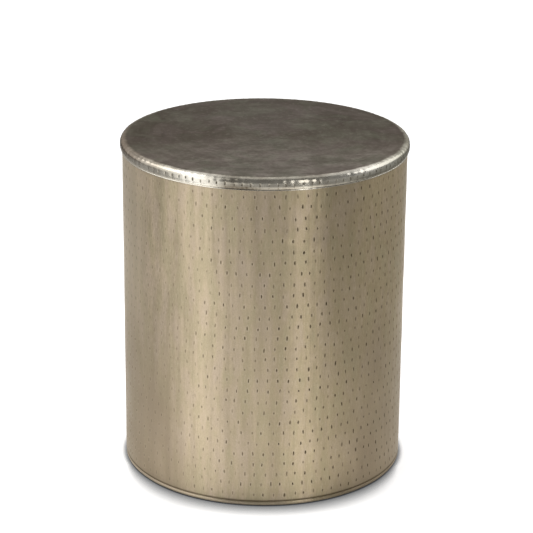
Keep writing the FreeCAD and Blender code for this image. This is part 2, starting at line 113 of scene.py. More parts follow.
# punch marks of the wall
MARK_PITCH = 15.1 * MM
MARK_ROWS = 29
MARK_FOOT_MARGIN = 3.5 * MM  # plain sheet under the lowest row
MARK_MOUTH_LEVEL = lid_low.z - 2.0 * MM  # the rows end just under the lid's lip
MARK_HALF_WIDTH = 0.85 * MM
MARK_HALF_HEIGHT = 2.4 * MM
MARK_DEPTH = 0.5 * MM
MARK_DRIFT = 0.24  # of the pitch, sideways, for a whole row
MARK_STRAY = 0.075  # of the pitch, sideways, for one mark
MARK_REACH = 0.29  # of the pitch: no mark strays further
WORN_AND_LIT_AZIMUTH = math.radians(140)  # the marks are shallowest here, left of the front, with lighter patina as a painted highlight
WORN_AND_LIT_REACH = math.radians(32)

# the screws
HEAD_RADIUS = 3.5 * MM
HEAD_EDGE = 0.8 * MM  # upright edge of a pan head, and the height of its crown
COUNTERSINK = 1.9 * MM
SHANK_RADIUS = 1.75 * MM
POINT = 2.0 * MM
ARM_REACH = 1.9 * MM  # of the cross in the head
ARM_HALF_WIDTH = 0.42 * MM
CROSS_DEPTH = 1.2 * MM
SCREW_COLUMNS = 24

# punch marks of the rim
RIM_MARKS = 110
RIM_MARK_DROP = 1.6 * MM  # the row lies this far under the end of the shoulder
SECOND_ROW_DROP = 5.2 * MM  # and a row of small marks this far under it
RIM_MARK_HALF_WIDTH = 0.75 * MM
RIM_MARK_HALF_HEIGHT = 2.8 * MM
RIM_MARK_DEPTH = 0.55 * MM
PILLOW = 0.10 * MM  # how far the sheet between two marks swells
# Where the rim is lit: there its painted shade above the lip is left out and its rolled edge gets
# a painted highlight. Share, and azimuths in degrees: start, fade, end, fade.
LIT_STRETCHES = [(1.0, 75, 30, 166, 8), (0.6, 222, 8, 285, 30)]
LIT_SPOT = (196, 5)
# Painted highlights on the rim: azimuth and reach in degrees, share on shoulder, on curl.
HIGHLIGHT_STRETCHES = [(152, 8, 0.9, 0.9), (221, 13, 1.0, 0.0), (112, 22, 0.0, 0.9)]


# ---------- meshes


def arc(centre, radius, first, last, steps):
    """Points of an arc in a section, from one angle to another in degrees, both ends included."""
    angles = np.radians(np.linspace(first, last, steps + 1))
    return [(centre[0] + radius * math.cos(a), centre[1] + radius * math.sin(a)) for a in angles]


def run(start, end, steps):
    """Points of a straight run in a section, without its start."""
    (r, z), (last_r, last_z) = start, end
    return [(r + (last_r - r) * s, z + (last_z - z) * s) for s in np.linspace(0, 1, steps + 1)[1:]]


class Dents:
    """A smooth unevenness, as hammering leaves it, round a surface of revolution."""

    def __init__(self, seed, depth, shortest, longest, radius, count=26):
        rng = np.random.default_rng(seed)
        length = np.exp(rng.uniform(math.log(shortest), math.log(longest), count))
        heading = rng.uniform(0, TURN, count)
        self.round = np.rint(TURN * radius / length * np.cos(heading))
        self.along = TURN / length * np.sin(heading)
        self.phase = rng.uniform(0, TURN, count)
        self.weight = length / math.sqrt(np.sum(length**2) / 2) * depth

    def __call__(self, azimuth, along):
        azimuth, along = np.broadcast_arrays(azimuth, along)
        turns = azimuth[..., None] * self.round + along[..., None] * self.along
        return np.sin(turns + self.phase) @ self.weight


def place(azimuth, radius, level):
    """Points from azimuth, radius and level, as an array of rows."""
    azimuth, radius, level = np.broadcast_arrays(azimuth, radius, level)
    return np.stack([-radius * np.sin(azimuth), radius * np.cos(azimuth), level], axis=-1)


def ring_faces(first, first_count, second, second_count, closed=True):
    """Faces between two rings, where one may have several times the points of the other.

    first and second are the numbers of the rings' first points. Seen from outside, azimuths run
    to the right and the second ring lies above the first.
    """
    seam = 0 if closed else 1
    spans = min(first_count, second_count) - seam
    steps = [max(1, (count - seam) // spans) for count in (first_count, second_count)]
    faces = []
    for span in range(spans):
        low = [first + (span * steps[0] + k) % first_count for k in range(steps[0] + 1)]
        high = [second + (span * steps[1] + k) % second_count for k in range(steps[1] + 1)]
        faces.append(low + high[::-1])
    return faces


def fan(first, count, tip, below=False):
    """Faces between a ring and a point in its middle, which closes it above or below."""
    faces = [(first + k, first + (k + 1) % count, tip) for k in range(count)]
    return [face[::-1] for face in faces] if below else faces


def stack_faces(before, number, counts, below=False):
    """Faces from one ring through more rings to a point in their middle.

    before is the first ring's first point and its count. The other rings, with these counts, and
    the last point are numbered on from number. They lie above the first ring or below it.
    """
    faces = []
    for ring in ((number + sum(counts[:step]), count) for step, count in enumerate(counts)):
        faces += ring_faces(*ring, *before) if below else ring_faces(*before, *ring)
        before = ring
    return faces + fan(*before, number + sum(counts), below)


def put(name, data):
    """A new object in the scene."""
    thing = bpy.data.objects.new(name, data)
    bpy.context.scene.collection.objects.link(thing)
    return thing


def make_mesh(name, points, faces, body, materials, attributes=(), crease=50, face_material=None):
    """A smooth-shaded piece that rides on a body, sharp only where faces meet steeply."""
    mesh = bpy.data.meshes.new(name)
    mesh.from_pydata([tuple(p) for p in points], [], faces)
    for material in materials:
        mesh.materials.append(material)
    if face_material is not None:
        mesh.polygons.foreach_set("material_index", np.asarray(face_material, np.int32))
    for attribute, values in dict(attributes).items():
        layer = mesh.attributes.new(attribute, "FLOAT", "POINT")
        layer.data.foreach_set("value", np.asarray(values, np.float32))
    mesh.shade_smooth()
    mesh.set_sharp_from_angle(angle=math.radians(crease))
    piece = put(name, mesh)
    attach(piece, body)
    return piece


# ---------- material nodes


class Nodes:
    """A node tree in the making. Each call adds nodes and hands back an output."""

    def __init__(self, tree):
        self.tree = tree

    def give(self, socket, value):
        """Give a socket a plain value, or link an output to it."""
        if isinstance(value, bpy.types.NodeSocket):
            self.tree.links.new(value, socket)
        elif value is not None:
            socket.default_value = value

    def add(self, kind, inputs=(), output=0, **settings):
        node = self.tree.nodes.new(kind)
        for setting, value in settings.items():
            setattr(node, setting, value)
        for socket, value in dict(inputs).items():
            self.give(node.inputs[socket], value)
        return node.outputs[output]


class Finish(Nodes):
    """A node material in the making."""

    def __init__(self, name, **settings):
        self.material = bpy.data.materials.new(name)
        self.material.use_nodes = True
        super().__init__(self.material.node_tree)
        self.shader = self.tree.nodes["Principled BSDF"]
        for socket, value in settings.items():
            self.set(socket.replace("_", " "), value)

    def set(self, socket, value):
        """Give a socket of the shader a plain value, or link an output to it."""
        self.give(self.shader.inputs[socket], value)

    def brush(self, strength):
        """Stretch the highlights across brush lines that run round the Z axis."""
        self.set("Anisotropic", strength)
        self.set("Anisotropic Rotation", 0.25)
        self.set("Tangent", self.add("ShaderNodeTangent", direction_type="RADIAL", axis="Z"))

    def math(self, operation, first, second=None, third=None):
        return self.add("ShaderNodeMath", {0: first, 1: second, 2: third}, operation=operation)

    def times(self, first, second):
        return self.math("MULTIPLY", first, second)

    def here(self):
        """The place on the piece at rest, in metres."""
        return self.add("ShaderNodeTexCoord", output="Object")

    def part(self, axis):
        """One coordinate of the place: 0 across, 1 back, 2 up."""
        return self.add("ShaderNodeSeparateXYZ", {0: self.here()}, output=axis)

    def vector(self, operation, first, second=None, output=0):
        return self.add("ShaderNodeVectorMath", {0: first, 1: second}, output, operation=operation)

    def flat(self):
        """The place on the piece, brought down to level zero."""
        return self.vector("MULTIPLY", self.here(), (1, 1, 0))

    def radius(self):
        """The distance from the Z axis."""
        return self.vector("LENGTH", self.flat(), output="Value")

    def grain(self, x_size, y_size, z_size):
        """Coordinates for a pattern whose features have these sizes in metres."""
        return self.vector("MULTIPLY", self.here(), (1 / x_size, 1 / y_size, 1 / z_size))

    def rings(self, width, spokes):
        """Coordinates for a pattern of rings round the Z axis, broken up round each turn."""
        heading = self.vector("NORMALIZE", self.flat())
        round_it = self.vector("MULTIPLY", heading, (spokes, spokes, spokes))
        out = self.add("ShaderNodeCombineXYZ", {2: self.math("DIVIDE", self.radius(), width)})
        return self.vector("ADD", round_it, out)

    def noise(self, where=None, scale=1.0, detail=3.0, roughness=0.5, distortion=0.0):
        where = self.here() if where is None else where
        inputs = {"Vector": where, "Scale": scale, "Detail": detail, "Roughness": roughness}
        return self.add("ShaderNodeTexNoise", {**inputs, "Distortion": distortion})

    def level(self, value, low, high, to_low=0.0, to_high=1.0):
        """A value from low to high, carried over to another range and held inside it."""
        inputs = {0: value, 1: low, 2: high, 3: to_low, 4: to_high}
        return self.add("ShaderNodeMapRange", inputs)

    def mix(self, share, first, second):
        """One colour over another by a share."""
        node = self.tree.nodes.new("ShaderNodeMix")
        node.data_type = "RGBA"
        self.give(node.inputs["Factor"], share)
        for socket, colour in ((6, first), (7, second)):
            self.give(node.inputs[socket], colour)
        return node.outputs[2]

    def layers(self, colour, *overs):
        """Colours over a first one, each given as its share and itself."""
        for share, over in overs:
            colour = self.mix(share, colour, over)
        return colour

    def own(self, attribute):
        """A value that the mesh carries at its points."""
        return self.add("ShaderNodeAttribute", output="Fac", attribute_name=attribute)

    def bump(self, height, distance, strength=1.0, over=None):
        inputs = {"Height": height, "Distance": distance, "Strength": strength, "Normal": over}
        return self.add("ShaderNodeBump", inputs)


def tone(red, green, blue):
    """A colour as a socket takes it, from linear parts."""
    return (red, green, blue, 1.0)


CHAMPAGNE_EDGE = tone(0.85, 0.83, 0.8)  # of what it reflects at a low angle
CHAMPAGNE = tone(0.59, 0.486, 0.338)
CHAMPAGNE_DULL = tone(0.448, 0.368, 0.252)
CHAMPAGNE_ROSE = tone(0.577, 0.467, 0.368)
CHAMPAGNE_OLIVE = tone(0.464, 0.407, 0.259)
CHAMPAGNE_SCORED = tone(0.283, 0.233, 0.158)
CHAMPAGNE_TAN = tone(0.45, 0.36, 0.21)
CHAMPAGNE_BROWN = tone(0.3, 0.235, 0.165)
CHAMPAGNE_RUB_AND_HIGHLIGHT = tone(0.7, 0.6, 0.46)
PATINA_AND_SHADE = tone(0.095, 0.07, 0.036)
PEWTER_EDGE = tone(0.42, 0.4, 0.375)
PEWTER = tone(0.205, 0.185, 0.164)
PEWTER_DARK = tone(0.094, 0.087, 0.078)
PEWTER_BLACK = tone(0.045, 0.042, 0.039)
PEWTER_FRONT_HIGHLIGHT = tone(0.24, 0.216, 0.19)
PEWTER_CORNER_HIGHLIGHT = tone(0.33, 0.304, 0.268)
PEWTER_MAUVE = tone(0.196, 0.163, 0.158)
PEWTER_GREEN = tone(0.172, 0.176, 0.142)
PEWTER_PALE = tone(0.28, 0.253, 0.226)
PEWTER_SCORED = tone(0.115, 0.102, 0.091)
NICKEL = tone(0.62, 0.58, 0.49)
NICKEL_DULL = tone(0.47, 0.425, 0.345)
NICKEL_BROWNED = tone(0.3, 0.245, 0.205)
NICKEL_COOL = tone(0.56, 0.57, 0.5)
NICKEL_GRIME_AND_SHADE = tone(0.075, 0.058, 0.038)
NICKEL_RUB_AND_HIGHLIGHT = tone(0.86, 0.82, 0.73)
BOARD_PALE = tone(0.42, 0.285, 0.165)
BOARD_DEEP = tone(0.33, 0.215, 0.12)
BOARD_FIBRE = tone(0.17, 0.1, 0.05)
SEALED_PALE = tone(0.034, 0.03, 0.026)
SEALED_DEEP = tone(0.02, 0.018, 0.016)
SEALED_FIBRE = tone(0.058, 0.05, 0.042)
FELT_PALE = tone(0.034, 0.033, 0.034)
FELT_DEEP = tone(0.014, 0.014, 0.015)
FELT_FUZZ = tone(0.075, 0.074, 0.076)
RUBBER_BLACK = tone(0.016, 0.016, 0.017)
RUBBER_BLOOM = tone(0.05, 0.048, 0.045)
BARE_SHEET = tone(0.36, 0.32, 0.26)
BAR_STEEL = tone(0.3, 0.29, 0.28)
ZINC = tone(0.55, 0.55, 0.54)


def drum_colour(coat, fine, streak, cloud):
    """The wall's colour: painted shade as a darker tan to the right and as browner, darker sides
    low down, a painted highlight up the far left edge, and patina in the marks.
    """
    hue = coat.noise(coat.grain(17 * MM, 17 * MM, 60 * MM), detail=2.0)
    speckle = coat.noise(scale=420.0, detail=2.0)
    level, times = coat.level, coat.times
    right = coat.part(0)
    across = coat.math("ABSOLUTE", right)
    low = coat.math("MULTIPLY_ADD", cloud, -0.12, coat.part(2))
    worn = coat.math("MULTIPLY_ADD", streak, 0.6, times(cloud, 0.4))
    rosy = times(level(hue, 0.46, 0.7), level(right, 0.0, 0.12, 0.55, 0.35))
    scored = times(level(across, 0.12, 0.18, 0.18, 0.36), level(fine, 0.35, 0.6, 1.0, 0.0))
    # Painted shade: the sides browner low down.
    shaded_sides = coat.math("MULTIPLY_ADD", cloud, 0.06, across)
    low_side_shade = times(level(shaded_sides, 0.12, 0.19), level(low, 0.22, -0.02, 0.0, 0.8))
    # Painted highlight: the far left edge lighter above the foot.
    left_edge_highlight = times(level(right, -0.165, -0.2), level(low, 0.08, 0.3, 0.0, 0.75))
    # Painted shade: the sides darker low down.
    low_side_darker_shade = times(level(across, 0.10, 0.18), level(low, 0.26, 0.08, 0.0, 0.4))
    return coat.layers(
        CHAMPAGNE_DULL,
        (level(worn, 0.40, 0.58), CHAMPAGNE),
        # Painted shade: a darker tan over the right side.
        (level(right, -0.06, 0.16, 0.0, 0.85), CHAMPAGNE_TAN),
        (rosy, CHAMPAGNE_ROSE),
        (level(hue, 0.34, 0.5, 0.45, 0.0), CHAMPAGNE_OLIVE),
        (scored, CHAMPAGNE_SCORED),
        (level(fine, 0.5, 0.7, 0.0, 0.28), CHAMPAGNE_RUB_AND_HIGHLIGHT),
        (level(speckle, 0.56, 0.72, 0.0, 0.25), CHAMPAGNE_SCORED),
        (low_side_shade, CHAMPAGNE_BROWN),
        (left_edge_highlight, CHAMPAGNE_RUB_AND_HIGHLIGHT),
        (low_side_darker_shade, CHAMPAGNE_SCORED),
        # The raised rings round the marks and the bead's outer face, lighter most to the left:
        # rubbed wear and a painted highlight.
        (times(coat.own("rub_and_highlight"), level(right, -0.02, 0.09, 0.45, 0.05)), CHAMPAGNE_RUB_AND_HIGHLIGHT),
        # Patina in the punch marks, and patina with painted shade in the crease over the bead.
        (coat.own("soot_and_shade"), PATINA_AND_SHADE),
    )


def drum_metal(name):
    """Satin champagne sheet, brushed, with upright streaks."""
    coat = Finish(name, Metallic=1.0)
    coat.set("Specular Tint", CHAMPAGNE_EDGE)
    coat.brush(0.85)
    fine = coat.noise(coat.grain(2.0 * MM, 2.0 * MM, 9 * MM), roughness=0.7)
    streak = coat.noise(coat.grain(11 * MM, 11 * MM, 220 * MM))
    cloud = coat.noise(coat.grain(45 * MM, 45 * MM, 90 * MM), detail=4.0)
    coat.set("Base Color", drum_colour(coat, fine, streak, cloud))
    rough = coat.level(fine, 0.3, 0.7, 0.41, 0.50)
    rough = coat.math("ADD", rough, coat.level(cloud, 0.3, 0.7, -0.03, 0.05))
    coat.set("Roughness", coat.math("MULTIPLY_ADD", coat.own("soot_and_shade"), 0.3, rough))
    rolled = coat.bump(streak, 0.9 * MM, 0.6)
    coat.set("Normal", coat.bump(fine, 0.05 * MM, 0.3, over=rolled))
    return coat.material


def face_colour(coat, cloud, stain, mottle, brushed, spun):
    """The lid's face: stained pewter, with painted shade black at both sides and darker over the
    back, and painted highlights along the front and towards the front right.
    """
    bands = coat.noise(coat.rings(22 * MM, 0.8))
    hue = coat.noise(scale=19.0, distortion=1.0)
    level, times = coat.level, coat.times
    right, back = coat.part(0), coat.part(1)
    across = coat.math("ABSOLUTE", right)
    front = coat.math("MULTIPLY_ADD", back, 1.6, times(across, 0.5))
    front = coat.math("MULTIPLY_ADD", cloud, -0.2, front)
    shaded_sides = times(level(across, 0.07, 0.17), level(front, -0.14, -0.06))
    corner = coat.math("MULTIPLY_ADD", right, -0.5, back)
    corner = coat.math("MULTIPLY_ADD", stain, -0.12, corner)
    return coat.layers(
        PEWTER_DARK,
        (level(cloud, 0.42, 0.58), PEWTER),
        # Painted shade: both sides black.
        (times(shaded_sides, level(right, -0.05, 0.05, 0.75, 0.95)), PEWTER_BLACK),
        # Painted shade over the middle and the back.
        (level(front, -0.13, -0.04, 0.0, 0.35), PEWTER_DARK),
        # Painted highlight along the front.
        (level(front, -0.09, -0.17, 0.0, 0.85), PEWTER_FRONT_HIGHLIGHT),
        # Painted highlight towards the front right.
        (level(corner, -0.15, -0.27, 0.0, 0.9), PEWTER_CORNER_HIGHLIGHT),
        (level(hue, 0.5, 0.64, 0.0, 0.5), PEWTER_MAUVE),
        (level(hue, 0.36, 0.54, 0.75, 0.0), PEWTER_GREEN),
        (level(bands, 0.42, 0.66, 0.0, 0.3), PEWTER_PALE),
        (level(brushed, 0.38, 0.56, 0.5, 0.0), PEWTER_SCORED),
        (level(stain, 0.42, 0.56, 0.4, 0.0), PEWTER_SCORED),
        (level(spun, 0.38, 0.56, 0.3, 0.0), PEWTER_SCORED),
        (level(mottle, 0.34, 0.52, 0.35, 0.0), PEWTER_SCORED),
        (level(mottle, 0.54, 0.68, 0.0, 0.3), PEWTER_PALE),
    )


def rim_colour(coat, stain, mottle):
    """The lid's rim: worn nickel, cooler to the right, darker and browner high at the far left,
    with grime and painted shade over the lip and painted highlights where it is lit.
    """
    level, times = coat.level, coat.times
    right = coat.part(0)
    high = level(coat.part(2), BELLY_LEVEL - 5 * MM, BELLY_LEVEL + 2 * MM, 0.3, 0.8)
    return coat.layers(
        NICKEL_DULL,
        (level(stain, 0.38, 0.62), NICKEL),
        (level(right, 0.08, 0.2, 0.0, 0.5), NICKEL_COOL),
        # Grime and painted shade over the lip, left out where the rim is lit.
        (times(coat.own("grime_and_shade"), level(mottle, 0.3, 0.6, 1.0, 0.85)), NICKEL_GRIME_AND_SHADE),
        # The lip's rubbed edge, and painted highlights.
        (coat.own("rub_and_highlight"), NICKEL_RUB_AND_HIGHLIGHT),
        # Darker and browner high up at the far left.
        (times(level(right, -0.13, -0.21), high), NICKEL_BROWNED),
        (coat.own("soot_and_shade"), PATINA_AND_SHADE),
    )


def lid_metal(name):
    """Dark pewter on the face, spun and stained, with painted shade and highlights; worn nickel on
    the rim, with painted highlights and shade.
    """
    coat = Finish(name, Metallic=1.0)
    coat.set("Specular Tint", PEWTER_EDGE)
    coat.brush(0.5)
    mottle = coat.noise(scale=150.0, roughness=0.7)
    brushed = coat.noise(coat.grain(80 * MM, 30 * MM, 1.0), detail=4.0, roughness=0.6)
    spun = coat.noise(coat.rings(5.0 * MM, 3.0), roughness=0.6)
    cloud = coat.noise(scale=11.0, detail=5.0, roughness=0.6, distortion=0.8)
    stain = coat.noise(scale=34.0, detail=5.0, roughness=0.6)

    # The nickel starts at a ragged line on the shoulder.
    edge = coat.math("ADD", coat.radius(), coat.level(stain, 0.2, 0.8, -2.5 * MM, 2.5 * MM))
    edge = coat.math("ADD", edge, coat.level(mottle, 0.3, 0.7, -1.2 * MM, 1.2 * MM))
    line = LID_RADIUS - 0.9 * SHOULDER_RADIUS
    is_rim = coat.level(edge, line - 3.0 * MM, line + 3.8 * MM)
    face = face_colour(coat, cloud, stain, mottle, brushed, spun)
    coat.set("Base Color", coat.mix(is_rim, face, rim_colour(coat, stain, mottle)))

    face_rough = coat.level(cloud, 0.3, 0.7, 0.30, 0.40)
    rim_rough = coat.level(stain, 0.3, 0.7, 0.20, 0.32)
    smoother = coat.math("SUBTRACT", rim_rough, face_rough)
    coat.set("Roughness", coat.math("MULTIPLY_ADD", is_rim, smoother, face_rough))
    scored = coat.bump(coat.math("ADD", brushed, spun), 0.08 * MM, 0.5)
    coat.set("Normal", coat.bump(stain, 0.6 * MM, 0.3, over=scored))
    return coat.material


def sheet_metal(name, colour, rough=0.42):
    """Plain mill-finish steel or bare sheet with faint rolling streaks and stains."""
    coat = Finish(name, Metallic=1.0)
    rolled = coat.noise(coat.grain(40 * MM, 40 * MM, 1.5 * MM), detail=2.0)
    stain = coat.noise(scale=28.0, detail=5.0, roughness=0.6)
    dark = tuple(0.55 * part for part in colour[:3]) + (1.0,)
    coat.set("Base Color", coat.mix(coat.level(stain, 0.38, 0.66), dark, colour))
    coat.set("Roughness", coat.level(rolled, 0.3, 0.7, rough - 0.07, rough + 0.1))
    coat.set("Normal", coat.bump(rolled, 0.03 * MM, 0.4))
    return coat.material


def board(name, left_edge_highlight, deep, fibres, smooth=0.62):
    """Fibreboard: pressed face, with a scatter of darker fibres."""
    coat = Finish(name, Metallic=0.0)
    fibre = coat.noise(scale=620.0, detail=4.0, roughness=0.7)
    patch = coat.noise(scale=17.0)
    colour = coat.mix(coat.level(patch, 0.35, 0.65), deep, left_edge_highlight)
    colour = coat.mix(coat.level(fibre, 0.52, 0.72, 0.0, 0.7), colour, fibres)
    coat.set("Base Color", colour)
    coat.set("Roughness", coat.level(fibre, 0.3, 0.7, smooth, smooth + 0.18))
    coat.set("Normal", coat.bump(fibre, 0.12 * MM, 0.5))
    return coat.material


def rubber(name):
    """Moulded black rubber with a dusty bloom."""
    coat = Finish(name, Metallic=0.0)
    grain = coat.noise(scale=900.0)
    bloom = coat.noise(scale=90.0, detail=4.0)
    coat.set("Base Color", coat.mix(coat.level(bloom, 0.4, 0.7), RUBBER_BLACK, RUBBER_BLOOM))
    coat.set("Roughness", coat.level(bloom, 0.3, 0.7, 0.55, 0.8))
    coat.set("Normal", coat.bump(grain, 0.1 * MM, 0.5))
    return coat.material


def felted(name):
    """Black wool felt."""
    coat = Finish(name, Metallic=0.0, Roughness=0.95)
    fuzz = coat.noise(scale=1500.0, detail=5.0, roughness=0.75)
    tuft = coat.noise(scale=240.0, distortion=1.2)
    colour = coat.mix(coat.level(tuft, 0.3, 0.7), FELT_DEEP, FELT_PALE)
    coat.set("Base Color", coat.mix(coat.level(fuzz, 0.5, 0.8, 0.0, 0.6), colour, FELT_FUZZ))
    coat.set("Sheen Weight", 0.35)
    coat.set("Sheen Roughness", 0.5)
    coat.set("Normal", coat.bump(fuzz, 0.3 * MM, 0.8))
    return coat.material


champagne_metal = drum_metal("champagne_metal")
bare_inside = sheet_metal("bare_inside", BARE_SHEET)
pewter = lid_metal("pewter_and_nickel")
bar_steel = sheet_metal("bar_steel_finish", BAR_STEEL)
bright_steel = sheet_metal("bright_zinc", ZINC, rough=0.3)
fibreboard = board("fibreboard", BOARD_PALE, BOARD_DEEP, BOARD_FIBRE)
sealed_board = board("sealed_board", SEALED_PALE, SEALED_DEEP, SEALED_FIBRE, smooth=0.42)
black_rubber = rubber("black_rubber")
black_felt = felted("black_felt")


# ---------- the drum wall

dents_of_wall = Dents(11, 0.10 * MM, 45 * MM, 170 * MM, MOUTH_RADIUS)


def wall_dents(azimuth, level):
    """The wall's unevenness, which dies away where the pan, the hoop and the lid hold it round."""
    above = np.clip((level - pan_high.z) / HELD_REACH, 0, 1)
    below = np.clip((hoop_bottom - level) / HELD_REACH, 0, 1)
    return dents_of_wall(azimuth, level) * above * below


def wall_radius(level):
    """The wall's outer radius: upright at the foot and the mouth, a slight taper between."""
    share = np.clip((level - TAPER_BOTTOM) / (TAPER_TOP - TAPER_BOTTOM), 0, 1)
    return FOOT_RADIUS + (MOUTH_RADIUS - FOOT_RADIUS) * share


# A punch mark is a run of eight-sided rings. Each row: half width, half height, how far it stands
# proud of the sheet, soot and rub: patina, and the raised ring rubbed lighter with a painted
# highlight. The last ring is the bottom of the mark.
MARK_RINGS = [
    (3.1 * MM, 5.0 * MM, -0.05 * MM, 0.0, 0.0),
    (1.6 * MM, 3.6 * MM, 0.06 * MM, 0.02, 1.0),
    (MARK_HALF_WIDTH, MARK_HALF_HEIGHT, -0.12 * MM, 0.45, 0.2),
    (0.4 * MARK_HALF_WIDTH, 0.7 * MARK_HALF_HEIGHT, -MARK_DEPTH, 1.0, 0.0),
]
# The eight points of a ring, as shares of its half width and half height.
OCTAGON = np.array(
    [(-0.78, -0.78), (0, -1), (0.78, -0.78), (1, 0), (0.78, 0.78), (0, 1), (-0.78, 0.78), (-1, 0)]
)
# The faces of a mark's bottom, by the numbers of its last ring.
MARK_BOTTOM = ((0, 1, 2, 3), (0, 3, 4, 7), (4, 5, 6, 7))


def sheet_azimuths(columns):
    """Azimuths round the wall, two to a mark, from one edge of the seam to the other."""
    gap = SEAM_OPENING / MOUTH_RADIUS
    return np.linspace(gap / 2, TURN - gap / 2, 2 * columns + 1)


def struck_mark(rng, line, middle, drift, pitch, sway):
    """The points of one mark, ring by ring: azimuth, level, height over the sheet, patina, and
    rubbed wear with a painted highlight.
    """
    stray = drift + rng.normal(0, MARK_STRAY) * pitch
    centre = line + np.clip(stray, -MARK_REACH * pitch, MARK_REACH * pitch) / MOUTH_RADIUS
    up = middle + sway(centre, middle) + np.clip(rng.normal(0, 0.7), -1.4, 1.4) * MM
    tilt = rng.normal(0, 0.05)
    size = np.clip(rng.normal(1, 0.10), 0.75, 1.2)
    stretch = np.clip(rng.normal(1, 0.16), 0.6, 1.3)
    worn = 1 - 0.6 * math.exp(-(((centre - WORN_AND_LIT_AZIMUTH) / WORN_AND_LIT_REACH) ** 2))
    force = worn * np.clip(rng.normal(0.9, 0.34), 0.15, 1.35)
    force *= 1 - 0.6 * (rng.random() < 0.3 * (1 - worn))
    # Where the marks are worn, left of the front, their patina is lighter: a painted highlight
    # where that side is lit.
    dark = (0.5 + 0.5 * worn) * min(1.0, 0.2 + 0.63 * force)
    rows = []
    for wide, tall, proud, soot_and_shade, rub_and_highlight in MARK_RINGS:
        for across, along in OCTAGON * (wide * size, tall * stretch):
            x = across * math.cos(tilt) - along * math.sin(tilt)
            z = across * math.sin(tilt) + along * math.cos(tilt)
            where = (centre + x / MOUTH_RADIUS, up + z)
            rows.append((*where, proud * force, soot_and_shade * dark, rub_and_highlight * force * worn))
    return rows


def punched_band(columns, low, high):
    """The wall's outer face with its punch marks: points as struck_mark gives them, and faces.

    Also the numbers of the points half way up each row, at the sheet's two edges by the seam.
    """
    rng = np.random.default_rng(5)
    azimuths = sheet_azimuths(columns)
    count = len(azimuths)
    pitch = 2 * (azimuths[1] - azimuths[0]) * MOUTH_RADIUS
    levels = np.linspace(low, high, MARK_ROWS + 1)
    sway = Dents(23, 0.7 * MM, 120 * MM, 400 * MM, MOUTH_RADIUS, count=8)
    points = [(azimuth, level, 0.0, 0.0, 0.0) for level in levels for azimuth in azimuths]
    faces = []
    edge_middles = ([], [])
    for row in range(MARK_ROWS):
        middle = (levels[row] + levels[row + 1]) / 2
        phase = int(rng.integers(0, 2))
        edges = sorted({0, count - 1} | set(range(phase, count, 2)))
        middles = {edge: len(points) + number for number, edge in enumerate(edges)}
        points += [(azimuths[edge], middle, 0.0, 0.0, 0.0) for edge in edges]
        edge_middles[0].append(middles[0])
        edge_middles[1].append(middles[count - 1])
        below, above = row * count, (row + 1) * count
        drift = rng.uniform(-MARK_DRIFT, MARK_DRIFT) * pitch
        for left, right in zip(edges, edges[1:]):
            if right - left == 1:  # half a cell beside the seam has no mark
                faces.append((below + left, below + right, middles[right], middles[left]))
                faces.append((middles[left], middles[right], above + right, above + left))
                continue
            border = [below + left, below + left + 1, below + right, middles[right]]
            border += [above + right, above + left + 1, above + left, middles[left]]
            mark = struck_mark(rng, azimuths[left + 1], middle, drift, pitch, sway)
            for first in range(len(points), len(points) + len(mark), 8):
                ring = list(range(first, first + 8))
                for k in range(8):
                    after = (k + 1) % 8
                    faces.append((border[k], border[after], ring[after], ring[k]))
                border = ring
            faces += [tuple(border[k] for k in corners) for corners in MARK_BOTTOM]
            points += mark
    return np.array(points), faces, edge_middles


def wall_section():
    """The sheet's section past the marks: over the mouth, down the inside and under the foot."""
    top = wall_high.z
    mouth = MOUTH_RADIUS
    fold = mouth - HOOP_THICKNESS - 2 * SHEET - 2 * FILM
    bend = FOLD_BEND
    hem = top - FOLD_LEG
    over = run((mouth, MARK_MOUTH_LEVEL), (mouth, top - bend), 2)
    over += arc((mouth - bend, top - bend), bend, 0, 90, 5)[1:]
    over += run((mouth - bend, top), (fold + bend, top), 1)
    over += arc((fold + bend, top - bend), bend, 90, 180, 5)[1:]
    over += run((fold, top - bend), (fold, hem), 2)
    inside = [(fold + SHEET, hem), (fold + SHEET, top - bend)]
    inside += arc((fold + bend, top - bend), bend - SHEET, 180, 90, 3)[1:]
    inside += [(mouth - bend, top - SHEET)]
    inside += arc((mouth - bend, top - bend), bend - SHEET, 90, 0, 3)[1:]
    down = (TAPER_TOP, *INSIDE_LEVELS, TAPER_BOTTOM, wall_low.z)
    inside += [(float(wall_radius(z)) - SHEET, z) for z in down]
    under = [(float(wall_radius(z)), z) for z in (wall_low.z, wall_low.z + 0.5 * MM)]
    return over, inside, under


